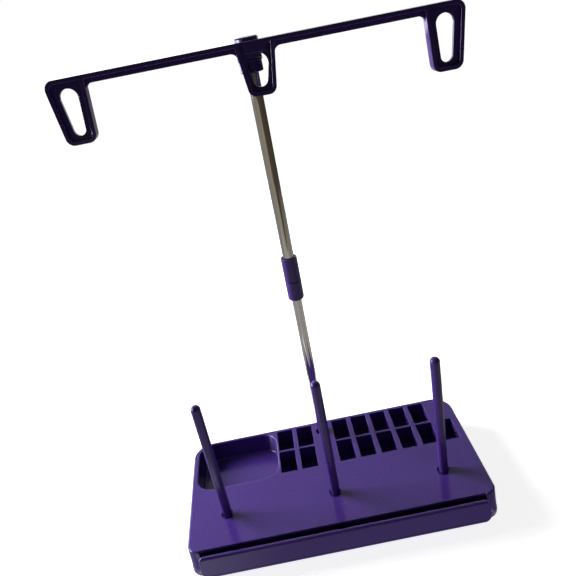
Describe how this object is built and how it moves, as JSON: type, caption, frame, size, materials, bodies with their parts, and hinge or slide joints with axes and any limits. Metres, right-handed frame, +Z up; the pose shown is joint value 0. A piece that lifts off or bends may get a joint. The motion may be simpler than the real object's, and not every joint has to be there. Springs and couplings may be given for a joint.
{
  "type": "thread stand",
  "caption": "Serger thread stand: moulded base with tray, bobbin wells and drawer, upright spool pins, and a telescoping mast with a swivelling thread guide arm.",
  "frame": {"origin": "on the resting plane, under the middle of the whole stand's box", "axes": "+Z up along the pins and the mast, +X to the right along the base's width, +Y towards the back, where the mast stands; the drawer opens towards -Y"},
  "size_m": [0.2466, 0.1156, 0.3239],
  "materials": {
    "purple_plastic": "gloss",
    "chrome_tube": "polished",
    "screw_steel": "satin",
    "nylon": "matte",
    "foot_rubber": "matte"
  },
  "bodies": {
    "base": {"top_cover": "purple_plastic", "base_pan": "purple_plastic", "rubber_feet": "foot_rubber", "base_screws": "screw_steel", "spool_pin_left": "purple_plastic", "spool_pin_middle": "purple_plastic", "spool_pin_right": "purple_plastic", "lower_tube": "chrome_tube", "foot_plug": "nylon", "mast_screw": "screw_steel", "mast_washer": "screw_steel", "guide_bush": "nylon"},
    "drawer": {"drawer": "purple_plastic"},
    "mast": {"upper_tube": "chrome_tube", "lock_collar": "purple_plastic", "grip_ring": "nylon", "arm_carrier": "purple_plastic"},
    "lock_nut": {"lock_nut": "purple_plastic"},
    "arm": {"thread_arm": "purple_plastic"}
  },
  "joints": [
    {"name": "drawer_slide", "type": "slide", "parent": "base", "child": "drawer", "axis": [0, -1, 0], "range_m": [-0.0022, 0.037]},
    {"name": "mast_height", "type": "slide", "parent": "base", "child": "mast", "axis": [0, 0, 1], "range_m": [-0.12, 0.01]},
    {"name": "lock_turn", "type": "hinge", "parent": "mast", "child": "lock_nut", "pos_m": [-0.004, 0.04469, 0.1545], "axis": [0, 0, 1], "range_deg": [0, 180]},
    {"name": "arm_swivel", "type": "hinge", "parent": "mast", "child": "arm", "pos_m": [-0.004, 0.04469, 0.3118], "axis": [0, 0, 1], "continuous": true}
  ]
}
